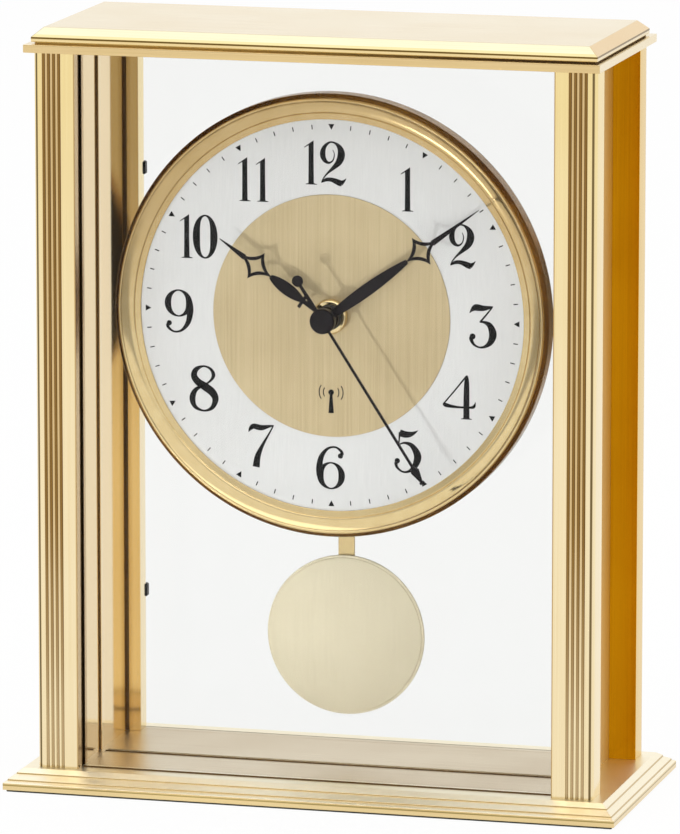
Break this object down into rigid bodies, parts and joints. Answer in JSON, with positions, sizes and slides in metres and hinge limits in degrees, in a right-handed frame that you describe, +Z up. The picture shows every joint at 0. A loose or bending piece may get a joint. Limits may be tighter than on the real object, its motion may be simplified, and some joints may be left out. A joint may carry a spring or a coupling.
{
  "type": "desk pendulum clock",
  "caption": "Glazed brass desk clock on fluted corner columns, with a round numbered dial on a glass pane, ornate black hands and a swinging disc pendulum below.",
  "frame": {"origin": "centre of the underside of the felt, on the surface that the clock stands on", "axes": "+Z up, the dial faces -Y, +X is to the right of a person who reads the dial"},
  "size_m": [0.2044, 0.09, 0.25],
  "materials": {
    "polished_brass": "polished, lacquered",
    "mirror_brass": "mirror polished sheet",
    "brushed_brass": "fine brushed",
    "clear_glass": "clear float glass",
    "dark_seal": "matt, dark brown",
    "black_plastic": "fine moulded grain",
    "dark_felt": "pressed felt",
    "silver_dial": "fine brushed, printed",
    "champagne_dial": "brushed, anodised",
    "black_hand": "gloss black lacquer",
    "steel": "bright zinc",
    "gear_plastic": "natural acetal",
    "battery_jacket": "printed film jacket, plain",
    "board_green": "solder mask",
    "copper_winding": "enamelled wire",
    "ferrite": "sintered",
    "nickel": "nickel plated",
    "button_grey": "moulded"
  },
  "bodies": {
    "case": {"base_plinth": "polished_brass", "front_left_column": "polished_brass", "front_right_column": "polished_brass", "rear_left_column": "polished_brass", "rear_right_column": "polished_brass", "top_flange": "polished_brass", "top_slab": "polished_brass", "bezel": "polished_brass", "hand_nut": "polished_brass", "left_side_panel": "mirror_brass", "right_side_panel": "mirror_brass", "floor_front": "brushed_brass", "floor_rear": "brushed_brass", "front_glass": "clear_glass", "dial_glass": "clear_glass", "rear_glass": "clear_glass", "panel_seals": "dark_seal", "front_glass_seals": "dark_seal", "dial_glass_seals": "dark_seal", "rear_glass_clips": "black_plastic", "top_spacer": "black_plastic", "dial_pan": "black_plastic", "movement_housing": "black_plastic", "movement_cover": "black_plastic", "felt_pad": "dark_felt", "dial_plate": "silver_dial", "dial_centre": "champagne_dial", "base_screws": "steel", "top_screws": "steel", "cover_screws": "steel", "pivot_pin": "steel", "battery_contacts": "steel", "train_plate": "gear_plastic", "battery": "battery_jacket", "circuit_board": "board_green", "minute_motor": "copper_winding", "second_motor": "copper_winding", "drive_coil": "copper_winding", "ferrite_antenna": "ferrite"},
    "minute": {"minute_arbor": "gear_plastic", "minute_hand": "black_hand"},
    "hour": {"hour_wheel": "gear_plastic", "hour_hand": "black_hand"},
    "motion": {"motion_wheel": "gear_plastic"},
    "second": {"second_arbor": "steel", "second_hand": "black_hand"},
    "pendulum": {"pendulum_hanger": "black_plastic", "pendulum_magnet": "nickel", "pendulum_rod": "brushed_brass", "pendulum_bob": "brushed_brass", "bob_screw": "steel"},
    "set_button": {"set_button": "button_grey"},
    "receive_button": {"receive_button": "button_grey"}
  },
  "joints": [
    {"name": "minute_turn", "type": "hinge", "parent": "case", "child": "minute", "pos_m": [0, -0.0195, 0.1565], "axis": [0, 1, 0], "continuous": true},
    {"name": "hour_turn", "type": "hinge", "parent": "case", "child": "hour", "pos_m": [0, -0.017, 0.1565], "axis": [0, 1, 0], "continuous": true},
    {"name": "motion_turn", "type": "hinge", "parent": "case", "child": "motion", "pos_m": [0.0096, 0, 0.1565], "axis": [0, 1, 0], "continuous": true},
    {"name": "second_turn", "type": "hinge", "parent": "case", "child": "second", "pos_m": [0, -0.0225, 0.1565], "axis": [0, 1, 0], "continuous": true},
    {"name": "pendulum_swing", "type": "hinge", "parent": "case", "child": "pendulum", "pos_m": [0, 0.006, 0.1285], "axis": [0, 1, 0], "range_deg": [-10, 10]},
    {"name": "set_press", "type": "slide", "parent": "case", "child": "set_button", "axis": [0, -1, 0], "range_m": [0, 0.0008], "stiffness_N_per_m": 400},
    {"name": "receive_press", "type": "slide", "parent": "case", "child": "receive_button", "axis": [0, -1, 0], "range_m": [0, 0.0008], "stiffness_N_per_m": 400}
  ],
  "couplings": [
    {"joint": "hour_turn", "follows": "minute_turn", "ratio": 0.083333},
    {"joint": "motion_turn", "follows": "minute_turn", "ratio": -0.33333}
  ]
}
